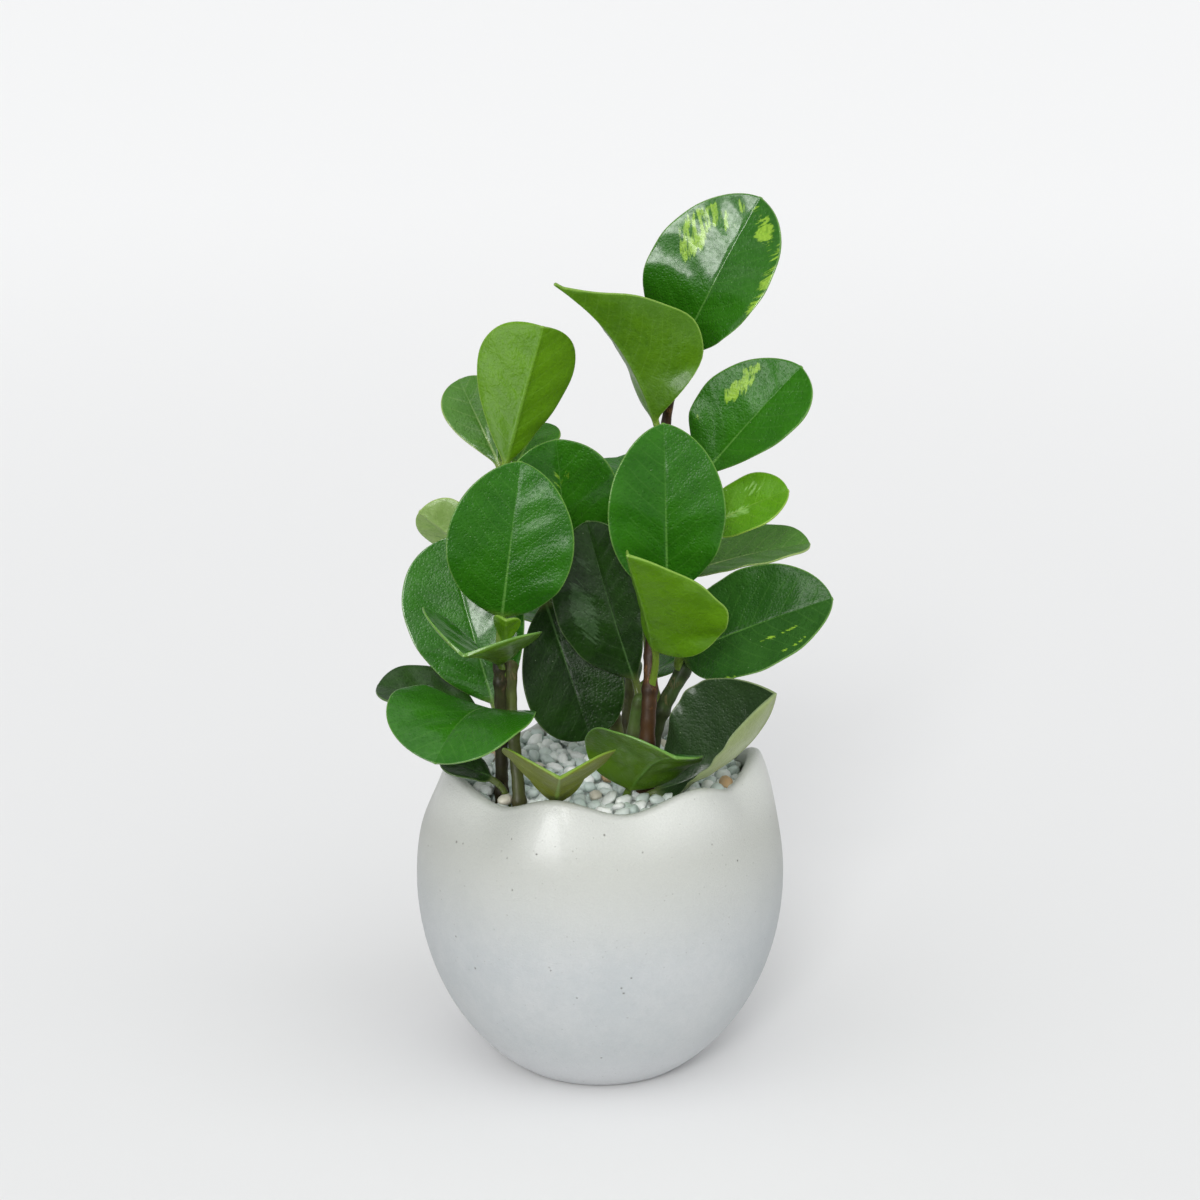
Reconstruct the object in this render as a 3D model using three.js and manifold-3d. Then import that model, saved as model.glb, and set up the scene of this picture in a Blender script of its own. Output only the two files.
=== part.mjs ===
// Potted peperomia: a white egg-shaped ceramic pot with a waved rim, filled with soil under a
// layer of white pebbles, and a bushy plant of thick stems with fleshy oval leaves.
// Millimetres, +Z up, origin at the centre of the flat foot, the front of the plant towards -Y.
import * as THREE from 'three'
import { mergeVertices } from 'three/addons/utils/BufferGeometryUtils.js'
import Module from 'manifold-3d'

const wasm = await Module()
wasm.setup()

// Clearance kept where one piece touches another
const seatGap = 0.3

// Pot: half an egg below the widest ring, part of another above it
const potRadius = 75
const potWidestHeight = 80
const potUpperReach = 88
const potLowerReach = 90
const potWall = 6
const potFloor = 8
const potSides = 49
const potWallHeights = [24, 50, 80, 100, 116]
const rimHeight = 128
const rimWaves = 7
const rimDipAzimuth = 10
const rimWaveHeight = 3.5
const rimWavePinch = 1.6
const rimLean = 1.5
const rimWaveDepth = 34

// Filling
const soilTop = 112
const bedTop = 123.5
const pebbleSpacing = 11
const pebbleHalfSizes = [6.8, 5.6, 4.2]
const pebbleSink = 0.7
const pebbleEdge = 2
const pebbleShift = 3
const pebbleTilt = 0.6
const pebbleLift = 1
const pebbleSeed = 11

// Stems and petioles
const stemSides = 8
const stemRows = 3
const petioleRadius = 1.7
const petioleFlatness = 0.8

// Blades
const bladeThickness = 1.4
const bladeEdge = 0.8
const bladeTipHalfWidth = 0.9
const bladeRows = 8
const petioleRows = 2
const bladeColumns = 4
const bladeFoldStart = 0.25
const bladeThickening = 5

const degrees = Math.PI / 180
const vector = ([x, y, z]) => new THREE.Vector3(x, y, z)
const mix = (a, b, t) => a + (b - a) * t

function seededRandom(seed) {
  let state = seed
  return () => {
    state = (state * 1664525 + 1013904223) % 4294967296
    return state / 4294967296
  }
}

// Closed solid through rings of points, each ring closed and with its ends fanned over
function loft(rings, flippedColumns = new Set()) {
  const count = rings[0].length
  const positions = rings.flat().flatMap(point => point.toArray())
  const faces = []
  for (let row = 0; row + 1 < rings.length; row++) {
    for (let column = 0; column < count; column++) {
      const next = (column + 1) % count
      const a = row * count + column
      const b = row * count + next
      const c = a + count
      const d = b + count
      if (flippedColumns.has(column)) faces.push(a, b, c, b, d, c)
      else faces.push(a, b, d, a, d, c)
    }
  }
  const last = (rings.length - 1) * count
  for (let column = 1; column + 1 < count; column++) {
    faces.push(0, column + 1, column, last, last + column, last + column + 1)
  }
  const geometry = new THREE.BufferGeometry()
  geometry.setAttribute('position', new THREE.Float32BufferAttribute(positions, 3))
  geometry.setIndex(faces)
  return geometry
}

function toSolid(geometry) {
  const bare = geometry.clone()
  bare.deleteAttribute('normal')
  bare.deleteAttribute('uv')
  const merged = mergeVertices(bare)
  return new wasm.Manifold(new wasm.Mesh({
    numProp: 3,
    vertProperties: new Float32Array(merged.attributes.position.array),
    triVerts: new Uint32Array(merged.index.array)
  }))
}

function toGeometry(solid) {
  const mesh = solid.getMesh()
  const geometry = new THREE.BufferGeometry()
  geometry.setAttribute('position', new THREE.Float32BufferAttribute(mesh.vertProperties, 3))
  geometry.setIndex(Array.from(mesh.triVerts))
  return geometry
}

// The waved rim: how far a point near the rim is lifted and pushed out, by its azimuth
function waveRim(geometry) {
  const position = geometry.attributes.position
  for (let i = 0; i < position.count; i++) {
    const x = position.getX(i)
    const y = position.getY(i)
    const z = position.getZ(i)
    const fade = THREE.MathUtils.smoothstep(z, rimHeight - rimWaveDepth, rimHeight)
    const radius = Math.hypot(x, y)
    if (fade === 0 || radius < 1) continue
    const azimuth = Math.atan2(x, -y)
    const wave = -Math.cos(rimWaves * (azimuth - rimDipAzimuth * degrees))
    const push = 1 + rimWavePinch * wave * fade / radius
    const lift = (rimWaveHeight * wave + rimLean * Math.sin(azimuth)) * fade
    position.setXYZ(i, x * push, y * push, z + lift)
  }
  return geometry
}

// Radius of the egg at a height, for a wall set in from the outside by inset
function eggRadius(height, inset) {
  const reach = height > potWidestHeight ? potUpperReach : potLowerReach
  const share = (height - potWidestHeight) / (reach - inset)
  return (potRadius - inset) * Math.sqrt(1 - share * share)
}

function turned(profile) {
  const points = profile.map(([radius, height]) => new THREE.Vector2(radius, height))
  const geometry = new THREE.LatheGeometry(points, potSides)
  geometry.rotateX(90 * degrees)
  return geometry
}

// The same surface facing the other way
function turnOver(geometry) {
  const index = geometry.index
  for (let i = 0; i < index.count; i += 3) {
    const kept = index.getX(i)
    index.setX(i, index.getX(i + 1))
    index.setX(i + 1, kept)
  }
  return geometry
}

function makePot() {
  const lip = potWall / 2
  const lipStart = rimHeight - lip
  const lipCentre = (eggRadius(lipStart, 0) + eggRadius(lipStart, potWall)) / 2
  const outside = [0, 4, 12, 24, 40, 60, 80, 94, 106, 116, lipStart]
    .map(height => [eggRadius(height, 0), height])
  const overLip = [45, 90, 135].map(angle => [
    lipCentre + lip * Math.cos(angle * degrees),
    lipStart + lip * Math.sin(angle * degrees)
  ])
  const inside = [potFloor, ...potWallHeights, lipStart].reverse()
    .map(height => [eggRadius(height, potWall), height])
  const foot = [[0, 0]]
  const well = [[0, potFloor]]
  return waveRim(turned([...foot, ...outside, ...overLip, ...inside, ...well]))
}

// The space inside the pot, clear of its wall, between two heights
function fillSpace(bottom, top) {
  const ceiling = rimHeight + potRadius
  const levels = [potFloor + seatGap, ...potWallHeights, rimHeight - potWall / 2].reverse()
  const wall = levels.map(height => [eggRadius(height, potWall + seatGap), height])
  const profile = [[0, ceiling], [wall[0][0], ceiling], ...wall, [0, potFloor + seatGap]]
  const inside = turnOver(waveRim(turned(profile)))
  const band = new THREE.BoxGeometry(4 * potRadius, 4 * potRadius, top - bottom)
  band.translate(0, 0, (top + bottom) / 2)
  return toSolid(inside).intersect(toSolid(band))
}

// A round stem along a smooth curve, thinner towards its top
function makeStem(stem, grow = 0) {
  const curve = new THREE.CatmullRomCurve3(stem.path.map(vector), false, 'centripetal')
  const rows = stemRows * (stem.path.length - 1)
  const rings = []
  for (let row = 0; row <= rows; row++) {
    const share = row / rows
    const centre = curve.getPoint(share)
    const tangent = curve.getTangent(share)
    const across = new THREE.Vector3(0, 1, 0).cross(tangent).normalize()
    const deep = tangent.clone().cross(across)
    const radius = mix(stem.thick, stem.thin, share) / 2 + grow
    const ring = []
    for (let side = 0; side < stemSides; side++) {
      const angle = side / stemSides * 360 * degrees
      ring.push(centre.clone()
        .addScaledVector(across, radius * Math.cos(angle))
        .addScaledVector(deep, radius * Math.sin(angle)))
    }
    rings.push(ring)
  }
  return loft(rings)
}

// The point of a stem's middle line at a height above the foot
function stemPoint(stem, height) {
  const curve = new THREE.CatmullRomCurve3(stem.path.map(vector), false, 'centripetal')
  const steps = 200
  for (let i = 0; i <= steps; i++) {
    const point = curve.getPoint(i / steps)
    if (point.z >= height) return point
  }
  return curve.getPoint(1)
}

// Half the blade's width at v, from 0 at its base to 1 at its tip, on its left (-1) or right (1)
function halfWidth(leaf, v, side) {
  const a = leaf.baseTaper * (1 + leaf.skew * side)
  const b = leaf.tipTaper * (1 - leaf.skew * side)
  const widest = a / (a + b)
  const full = Math.pow(widest, a) * Math.pow(1 - widest, b)
  const blade = leaf.width / 2 * Math.pow(v, a) * Math.pow(1 - v, b) / full
  const stalk = leaf.stalk * Math.pow(1 - v, leaf.tipTaper)
  return Math.max(Math.hypot(blade * (1 + leaf.lean * side), stalk), bladeTipHalfWidth)
}

// One ring round a section: left edge to right edge on top, and back below
function leafRing(centre, across, normal, halves, thickness, fold, cup, grow) {
  const top = []
  const below = []
  for (let column = 0; column <= bladeColumns; column++) {
    const u = mix(-1, 1, column / bladeColumns)
    const side = Math.sign(u)
    const bent = Math.max(cup, 0.01)
    const half = halves[side < 0 ? 0 : 1]
    const turn = fold + bent * Math.abs(u)
    const out = half * (Math.sin(turn) - Math.sin(fold)) / bent
    const lift = half * (Math.cos(fold) - Math.cos(turn)) / bent
    const away = mix(bladeEdge, thickness, Math.sqrt(1 - u * u)) / 2 + grow
    const leaning = normal.clone().multiplyScalar(Math.cos(turn * Math.abs(side)))
      .addScaledVector(across, -side * Math.sin(turn))
    const middle = centre.clone()
      .addScaledVector(across, side * out + side * (Math.abs(u) === 1 ? grow : 0))
      .addScaledVector(normal, lift)
    top.push(middle.clone().addScaledVector(leaning, away))
    below.push(middle.clone().addScaledVector(leaning, -away))
  }
  return [...top, ...below.reverse()]
}

// A leaf: its petiole from the foot point on a stem, then an arched, folded and cupped blade
function makeLeaf(leaf, foot, grow = 0) {
  const base = vector(leaf.base)
  const chord = vector(leaf.tip).sub(base)
  const along = chord.clone().normalize()
  const face = vector(leaf.face)
  face.addScaledVector(along, -face.dot(along)).normalize()
  const side = along.clone().cross(face)
  const bend = leaf.bend * degrees
  const length = chord.length() * (bend / 2) / Math.sin(bend / 2)
  const fold = leaf.fold * degrees
  const cup = leaf.cup * degrees
  const stalkThickness = 2 * leaf.stalk * petioleFlatness
  const rings = []

  const start = along.clone().multiplyScalar(Math.cos(bend / 2)).addScaledVector(face, Math.sin(bend / 2))
  const reach = foot.distanceTo(base) / 2
  const stalk = new THREE.QuadraticBezierCurve3(foot, base.clone().addScaledVector(start, -reach), base)
  for (let row = 0; row < petioleRows; row++) {
    const share = row / petioleRows
    const tangent = stalk.getTangent(share)
    const across = side.clone().addScaledVector(tangent, -side.dot(tangent)).normalize()
    const normal = across.clone().cross(tangent)
    rings.push(leafRing(stalk.getPoint(share), across, normal,
      [leaf.stalk, leaf.stalk], stalkThickness, 0, 0, grow))
  }

  for (let row = 0; row <= bladeRows; row++) {
    const v = (1 - Math.cos(row / bladeRows * 180 * degrees)) / 2
    const tilt = bend * (0.5 - v)
    const centre = base.clone()
      .addScaledVector(along, length * (Math.sin(bend / 2) - Math.sin(tilt)) / bend)
      .addScaledVector(face, length * (Math.cos(tilt) - Math.cos(bend / 2)) / bend)
    const upright = face.clone().multiplyScalar(Math.cos(tilt)).addScaledVector(along, -Math.sin(tilt))
    const halves = [halfWidth(leaf, v, -1), halfWidth(leaf, v, 1)]
    const thickest = Math.max(stalkThickness, bladeThickness)
    const thickness = mix(bladeThickness, thickest, Math.pow(1 - v, bladeThickening))
    const open = Math.min(1, v / bladeFoldStart)
    rings.push(leafRing(centre, side, upright, halves, thickness, fold * open, cup * open, grow))
  }
  return loft(rings, mirroredColumns)
}

// Columns whose triangles are split the other way, so both halves and both faces match
const mirroredColumns = new Set([2, 3, 7, 8])

const stems = {
  left_tall: {
    thick: 5.4, thin: 3.8,
    path: [[-31, -38, 100], [-32, -39, 128], [-35, -28, 162], [-34, -18, 190], [-37, -6, 225], [-38, -2, 248]]
  },
  left_short: {
    thick: 5.4, thin: 4.6,
    path: [[-40, -26, 100], [-39, -28, 128], [-39, -34, 155], [-39, -38, 182]]
  },
  right_tall: {
    thick: 7, thin: 3.4,
    path: [
      [18, -22, 100], [18, -22, 128], [20, -15, 165], [21, -8, 190], [24, 2, 230], [26, 5, 265],
      [30, 1, 292]
    ]
  },
  right_short: {
    thick: 7, thin: 6,
    path: [[19, -4, 100], [20, -4, 128], [24, -5, 148], [34, -4, 168]]
  },
  middle_short: {
    thick: 5.6, thin: 5,
    path: [[11, -5, 100], [13, -6, 128], [14, -7, 146], [16, -8, 156]]
  },
  middle_tall: {
    thick: 6, thin: 4.6,
    path: [[8, 14, 100], [8, 14, 128], [3, 12, 152], [-6, 7, 182], [-10, 5, 208]]
  },
  back_short: {
    thick: 6, thin: 4.8,
    path: [[10, 30, 100], [11, 31, 128], [13, 33, 150], [14, 34, 172]]
  }
}

// Each leaf: where its blade begins and ends, and the way that its upper face looks
const ordinary = {
  baseTaper: 0.75, tipTaper: 0.5, fold: 8, cup: 10, bend: 15, skew: 0, lean: 0,
  stalk: petioleRadius
}
const leaves = [
  { name: 'right_tall_top', stem: 'right_tall', height: 288, base: [32, 0, 296], tip: [61, -20, 358],
    face: [-0.25, -0.9, 0.4], width: 51, baseTaper: 0.6, fold: 12, skew: 0.2, lean: -0.08 },
  { name: 'right_tall_upper', stem: 'right_tall', height: 255, base: [22, -4, 268], tip: [-17, -26, 326],
    face: [0.6, 0.55, 0.58], width: 60, baseTaper: 1.4, tipTaper: 1.9,
    fold: 20, cup: 20, bend: 45, lean: -0.12 },
  { name: 'right_tall_right', stem: 'right_tall', height: 236, base: [42, 0, 247], tip: [78, -14, 292],
    face: [-0.26, -0.9, 0.47], width: 41, fold: 10, skew: 0.3, lean: -0.12 },
  { name: 'right_tall_front', stem: 'right_tall', height: 196, base: [26, -30, 206], tip: [24, -40, 275],
    face: [0.08, -0.97, 0.2], width: 46, baseTaper: 0.6, tipTaper: 0.6, fold: 4 },
  { name: 'right_tall_low', stem: 'right_tall', height: 162, base: [21.5, -27, 182.5],
    tip: [10.5, -72, 231.5], face: [0.69, 0.44, 0.55], width: 49, baseTaper: 0.7, tipTaper: 0.75,
    fold: 20, cup: 20, bend: 5, lean: -0.38 },
  { name: 'right_tall_small', stem: 'right_tall', height: 216, base: [39, 0, 223], tip: [74, -10, 242],
    face: [-0.2, -0.7, 0.7], width: 26 },
  { name: 'right_tall_back', stem: 'right_tall', height: 226, base: [18, 12, 230], tip: [7, 50, 242],
    face: [-0.1, -0.3, 0.95], width: 42 },
  { name: 'right_short_right', stem: 'right_short', height: 166, base: [33, -7, 174], tip: [90.5, -30, 203.5],
    face: [-0.13, -0.85, 0.65], width: 46, baseTaper: 0.6, tipTaper: 0.55, fold: 12, stalk: 2.2 },
  { name: 'right_short_upper', stem: 'right_short', height: 150, base: [36, 18, 201], tip: [85, 20, 213],
    face: [0, -0.2, 1], width: 36, stalk: 2.1 },
  { name: 'left_short_back', stem: 'left_short', height: 180, base: [-38, -36, 198], tip: [-30, -48, 262],
    face: [0, -0.97, 0.15], width: 49.5, baseTaper: 0.6, tipTaper: 0.6, fold: 4 },
  { name: 'left_short_front', stem: 'left_short', height: 152, base: [-42, -42, 161], tip: [-62, -84, 154],
    face: [0, -0.2, 1], width: 59, bend: 75, fold: 9, cup: 5, baseTaper: 0.6 },
  { name: 'left_short_side', stem: 'left_short', height: 146, base: [-47, -28, 156], tip: [-88, -20, 165],
    face: [0.1, -0.3, 1], width: 32, baseTaper: 0.9 },
  { name: 'left_short_folded', stem: 'left_short', height: 172, base: [-39, -42, 181], tip: [-51, -80, 195],
    face: [0.25, 0.4, 0.9], width: 55, baseTaper: 1.2, fold: 19, cup: 22 },
  { name: 'left_short_sprout', stem: 'left_short', height: 178, base: [-36.5, -43.5, 188.5],
    tip: [-36, -50, 200.5], face: [0.1, 0.75, 0.5], width: 13, baseTaper: 1.2,
    fold: 20, cup: 30, stalk: 0.8 },
  { name: 'left_tall_top', stem: 'left_tall', height: 246, base: [-37, -6, 252], tip: [-22, -10, 307],
    face: [-0.2, 0.95, -0.1], width: 41, baseTaper: 1, tipTaper: 0.45, fold: 16, lean: 0.05 },
  { name: 'left_tall_back', stem: 'left_tall', height: 240, base: [-40, 3, 250], tip: [-56, 18, 281],
    face: [-0.2, -0.75, 0.6], width: 24, baseTaper: 1.1 },
  { name: 'left_tall_far', stem: 'left_tall', height: 232, base: [-33, 10, 248], tip: [-24, 34, 260],
    face: [0, -0.5, 0.85], width: 24 },
  { name: 'left_tall_large', stem: 'left_tall', height: 150, base: [-42, -21, 158.5], tip: [-60, -14, 224],
    face: [-0.2, -0.95, 0.3], width: 49, baseTaper: 0.75 },
  { name: 'left_tall_pale', stem: 'left_tall', height: 205, base: [-49, 4, 212], tip: [-72, 6, 230],
    face: [0.1, 0.8, 0.5], width: 28 },
  { name: 'left_tall_rear', stem: 'left_tall', height: 214, base: [-34, 10, 220], tip: [-29, 54, 227],
    face: [0, -0.3, 1], width: 42 },
  { name: 'middle_tall_top', stem: 'middle_tall', height: 205, base: [-13, 0, 212], tip: [-17, -12, 263],
    face: [0, -0.95, 0.3], width: 46 },
  { name: 'middle_tall_drooping', stem: 'middle_tall', height: 184, base: [-22, 7, 192], tip: [-4, -3.5, 138],
    face: [0, -0.85, 0.5], width: 41, bend: 25 },
  { name: 'middle_tall_back', stem: 'middle_tall', height: 196, base: [-13, 16, 204], tip: [-16, 62, 211],
    face: [0, -0.2, 1], width: 44 },
  { name: 'middle_short_long', stem: 'middle_short', height: 154, base: [14, -6, 164], tip: [-5, -15, 231],
    face: [-0.33, -0.9, 0.15], width: 41, baseTaper: 0.8, fold: 14, skew: 0.2, lean: -0.08 },
  { name: 'back_short_top', stem: 'back_short', height: 168, base: [17, 40, 178], tip: [27, 56, 222],
    face: [0, 0.9, 0.4], width: 40, bend: -15 },
  { name: 'back_short_right', stem: 'back_short', height: 146, base: [22, 37, 152], tip: [64, 52, 172],
    face: [-0.3, -0.1, 0.95], width: 44 },
  { name: 'back_short_left', stem: 'back_short', height: 158, base: [5, 40, 164], tip: [-40, 60, 176],
    face: [0.2, -0.1, 0.95], width: 44 },
  { name: 'back_short_low', stem: 'back_short', height: 134, base: [8, 43, 141], tip: [-12, 86, 141],
    face: [0, 0.1, 1], width: 44, bend: 35 },
  { name: 'soil_front_wide', foot: [10, -30, 104], base: [12, -33, 127], tip: [29, -68, 151],
    face: [0.13, 0.57, 0.81], width: 47, baseTaper: 0.5, bend: 50, fold: 6, lean: 0.22 },
  { name: 'soil_front_folded', foot: [-15, -45, 104], base: [-17, -50, 127], tip: [-15, -92, 151],
    face: [0, 0.5, 0.9], width: 50, baseTaper: 1.1, fold: 20, cup: 20 },
  { name: 'soil_left_low', foot: [-41, -34, 104], base: [-43, -34, 131], tip: [-63, -31, 138],
    face: [0, -0.3, 1], width: 20 },
  { name: 'soil_right_large', foot: [22, -29, 104], base: [22, -32, 125], tip: [67.5, -50, 171],
    face: [-0.67, -0.39, 0.63], width: 60, baseTaper: 0.7, tipTaper: 0.42, bend: -70, fold: 35, cup: 20,
    skew: 0.2, lean: -0.06 }
]

const looks = {
  pot: { color: 0xd9dcda, roughness: 0.4 },
  soil: { color: 0x3a2a1e, roughness: 0.95 },
  pebbles: { color: 0xd5dedb, roughness: 0.6 },
  stem: { color: 0x5c5a2c, roughness: 0.55 },
  leaf: { color: 0x2f6b1c, roughness: 0.35 }
}

// White stones scattered in a loose honeycomb, each sunk in the bed that joins them
function makePebbles(holes) {
  const random = seededRandom(pebbleSeed)
  const about = range => (random() - 0.5) * range
  const space = fillSpace(soilTop + seatGap, rimHeight + potRadius / 2)
  let layer = fillSpace(soilTop + seatGap, bedTop)
  const rowStep = pebbleSpacing * Math.sqrt(3) / 2
  const reach = Math.ceil(potRadius / rowStep)
  const limit = eggRadius(rimHeight, potWall) - pebbleEdge
  for (let row = -reach; row <= reach; row++) {
    for (let column = -reach; column <= reach; column++) {
      const x = (column + (row % 2) / 2) * pebbleSpacing + about(pebbleShift)
      const y = row * rowStep + about(pebbleShift)
      const z = bedTop - pebbleSink + about(pebbleLift)
      const turn = new THREE.Euler(about(pebbleTilt), about(pebbleTilt), about(2 * Math.PI))
      if (Math.hypot(x, y) > limit) continue
      const stone = new THREE.IcosahedronGeometry(1, 0)
      stone.scale(...pebbleHalfSizes)
      stone.applyMatrix4(new THREE.Matrix4().makeRotationFromEuler(turn).setPosition(x, y, z))
      layer = layer.add(toSolid(stone).intersect(space))
    }
  }
  return toGeometry(layer.subtract(holes))
}

const plant = new THREE.Group()

function addPiece(name, geometry, look) {
  const material = new THREE.MeshStandardMaterial({ ...look, metalness: 0 })
  const mesh = new THREE.Mesh(geometry, material)
  mesh.name = name
  plant.add(mesh)
}

addPiece('pot', makePot(), looks.pot)

let holes
const join = solid => { holes = holes ? holes.add(solid) : solid }
for (const stem of Object.values(stems)) join(toSolid(makeStem(stem, seatGap)))
for (const [name, stem] of Object.entries(stems)) addPiece('stem_' + name, makeStem(stem), looks.stem)

for (const own of leaves) {
  const leaf = { ...ordinary, ...own }
  const foot = leaf.stem ? stemPoint(stems[leaf.stem], leaf.height) : vector(leaf.foot)
  let geometry = makeLeaf(leaf, foot)
  if (leaf.stem) {
    geometry = toGeometry(toSolid(geometry).subtract(toSolid(makeStem(stems[leaf.stem], seatGap))))
  } else {
    join(toSolid(makeLeaf(leaf, foot, seatGap)))
  }
  addPiece('leaf_' + leaf.name, geometry, looks.leaf)
}

addPiece('soil', toGeometry(fillSpace(0, soilTop).subtract(holes)), looks.soil)
addPiece('pebbles', makePebbles(holes), looks.pebbles)

export default plant
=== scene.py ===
from math import cos, exp, hypot, pi, radians, sin, sqrt
import bmesh
import bpy
import numpy as np
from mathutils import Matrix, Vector


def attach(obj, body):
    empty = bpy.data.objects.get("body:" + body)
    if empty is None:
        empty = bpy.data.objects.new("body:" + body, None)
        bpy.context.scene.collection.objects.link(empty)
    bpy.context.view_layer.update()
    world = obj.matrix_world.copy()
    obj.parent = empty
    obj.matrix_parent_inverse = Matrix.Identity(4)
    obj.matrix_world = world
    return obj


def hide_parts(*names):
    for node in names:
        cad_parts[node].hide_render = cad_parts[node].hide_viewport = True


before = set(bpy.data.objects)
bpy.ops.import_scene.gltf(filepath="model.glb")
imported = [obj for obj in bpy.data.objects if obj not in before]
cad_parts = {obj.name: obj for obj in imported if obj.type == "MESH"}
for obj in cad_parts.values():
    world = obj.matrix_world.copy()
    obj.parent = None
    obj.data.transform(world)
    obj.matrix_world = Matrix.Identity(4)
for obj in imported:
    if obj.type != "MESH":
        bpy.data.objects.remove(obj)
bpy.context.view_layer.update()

scene = bpy.context.scene
mm = 0.001


# Objects and meshes
def newObject(name, data):
    made = bpy.data.objects.new(name, data)
    scene.collection.objects.link(made)
    return made


# A mesh of points in millimetres
def newMesh(name, points, edges=(), faces=()):
    mesh = bpy.data.meshes.new(name)
    mesh.from_pydata((np.array(points, float) * mm).tolist(), edges, faces)
    return mesh


# The quads between closed rings of points, one ring after another
def quadsBetween(rings, count):
    return [(row + i, row + (i + 1) % count, row + count + (i + 1) % count, row + count + i)
            for row in range(0, (rings - 1) * count, count) for i in range(count)]


# Gives a finished mesh to the plant, standing for its CAD nodes
def addPiece(name, mesh, slot, *nodes):
    piece = newObject(name, mesh)
    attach(piece, "root")
    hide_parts(*nodes)


# Joins what lies in one place and turns every face outward
def cleanMesh(mesh, gap=2e-6):
    work = bmesh.new()
    work.from_mesh(mesh)
    bmesh.ops.remove_doubles(work, verts=work.verts, dist=gap)
    bmesh.ops.recalc_face_normals(work, faces=work.faces)
    work.to_mesh(mesh)
    work.free()
    mesh.shade_smooth()
    return mesh


def setAttribute(mesh, name, values):
    data = mesh.attributes.new(name, "FLOAT", "POINT").data
    data.foreach_set("value", np.asarray(values, dtype=np.float32))


# The plain mesh that a Geometry Nodes tree makes of a starting mesh
def shapeByNodes(name, mesh, tree, values):
    holder = newObject(name + "Holder", mesh)
    modifier = holder.modifiers.new("shape", "NODES")
    modifier.node_group = tree
    for item in tree.interface.items_tree:
        if item.item_type == "SOCKET" and item.in_out == "INPUT" and item.name in values:
            modifier[item.identifier] = values[item.name]
    bpy.context.view_layer.update()
    evaluated = holder.evaluated_get(bpy.context.evaluated_depsgraph_get())
    made = bpy.data.meshes.new_from_object(evaluated)
    made.name = name
    bpy.data.objects.remove(holder)
    return made


def unit(v):
    return v / np.linalg.norm(v)


def blend(first, second, share):
    return first + (second - first) * share


def smoothstep(x):
    return x * x * (3 - 2 * x)


# Camera and light
photoView = {"distance": 1.150, "elevation": 15.0, "lookAtHeight": 0.195, "lens": 86.25, "sensor": 36.0}
softLights = {
    "windowSun": {"from": (-0.14, -0.87, 0.47), "strength": 1.15, "spread": 15, "colour": (1, 0.995, 0.985)},
    "topSun": {"from": (-0.1, -0.6, 1.2), "strength": 1.15, "spread": 85, "colour": (1, 1, 1)},
    "fillSun": {"from": (0.9, -0.8, 0.75), "strength": 0.45, "spread": 75, "colour": (0.985, 0.995, 1)},
}
windowGlow = {"at": (-0.37, -0.55, 0.22), "towards": (0, 0, 0.26), "wide": 0.3, "high": 0.44, "power": 6.2}
worldLight = {"colour": (0.97, 0.985, 1, 1), "strength": 0.48}


def addCamera(settings):
    tilt = radians(settings["elevation"])
    data = bpy.data.cameras.new("photoView")
    data.lens = settings["lens"]
    data.sensor_width = settings["sensor"]
    camera = newObject("photoView", data)
    back = settings["distance"]
    camera.location = (0, -back * cos(tilt), settings["lookAtHeight"] + back * sin(tilt))
    camera.rotation_euler = (pi / 2 - tilt, 0, 0)
    scene.camera = camera


# Turns a light to shine from a direction
def shiningFrom(direction):
    return Vector(direction).to_track_quat("Z", "Y").to_euler()


def addLights(lights, glow, world):
    for name, settings in lights.items():
        data = bpy.data.lights.new(name, "SUN")
        data.energy = settings["strength"]
        data.angle = radians(settings["spread"])
        data.color = settings["colour"]
        newObject(name, data).rotation_euler = shiningFrom(settings["from"])
    data = bpy.data.lights.new("windowGlow", "AREA")
    data.shape = "RECTANGLE"
    data.size, data.size_y, data.energy = glow["wide"], glow["high"], glow["power"]
    light = newObject("windowGlow", data)
    light.location = glow["at"]
    light.rotation_euler = shiningFrom(Vector(glow["at"]) - Vector(glow["towards"]))
    light.visible_diffuse = False
    sky = bpy.data.worlds.new("studio")
    sky.use_nodes = True
    background = sky.node_tree.nodes["Background"].inputs
    background["Color"].default_value = world["colour"]
    background["Strength"].default_value = world["strength"]
    scene.world = sky


addCamera(photoView)
addLights(softLights, windowGlow, worldLight)
scene.view_settings.view_transform = "Standard"


# Node helpers, which put nodes in the tree that was started last
current = {"tree": None}


def put(kind, inputs=None, **settings):
    node = current["tree"].nodes.new(kind)
    for key, value in settings.items():
        setattr(node, key, value)
    for key, value in (inputs or {}).items():
        if isinstance(value, bpy.types.NodeSocket):
            current["tree"].links.new(value, node.inputs[key])
        else:
            node.inputs[key].default_value = value
    return node


def calc(operation, *values):
    return put("ShaderNodeMath", dict(enumerate(values)), operation=operation).outputs[0]


def times(first, *others):
    for other in others:
        first = calc("MULTIPLY", first, other)
    return first


def plus(first, second):
    return calc("ADD", first, second)


def minus(first, second):
    return calc("SUBTRACT", first, second)


def vectorCalc(operation, *values):
    node = put("ShaderNodeVectorMath", dict(enumerate(values)), operation=operation)
    return node.outputs["Value" if operation in ("DISTANCE", "LENGTH") else "Vector"]


def axes(vector):
    return put("ShaderNodeSeparateXYZ", {"Vector": vector}).outputs


def vectorOf(**parts):
    return put("ShaderNodeCombineXYZ", parts).outputs[0]


def ease(value, low, high, start=0.0, end=1.0):
    inputs = {"Value": value, "From Min": low, "From Max": high, "To Min": start, "To Max": end}
    return put("ShaderNodeMapRange", inputs, interpolation_type="SMOOTHSTEP").outputs[0]


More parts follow.
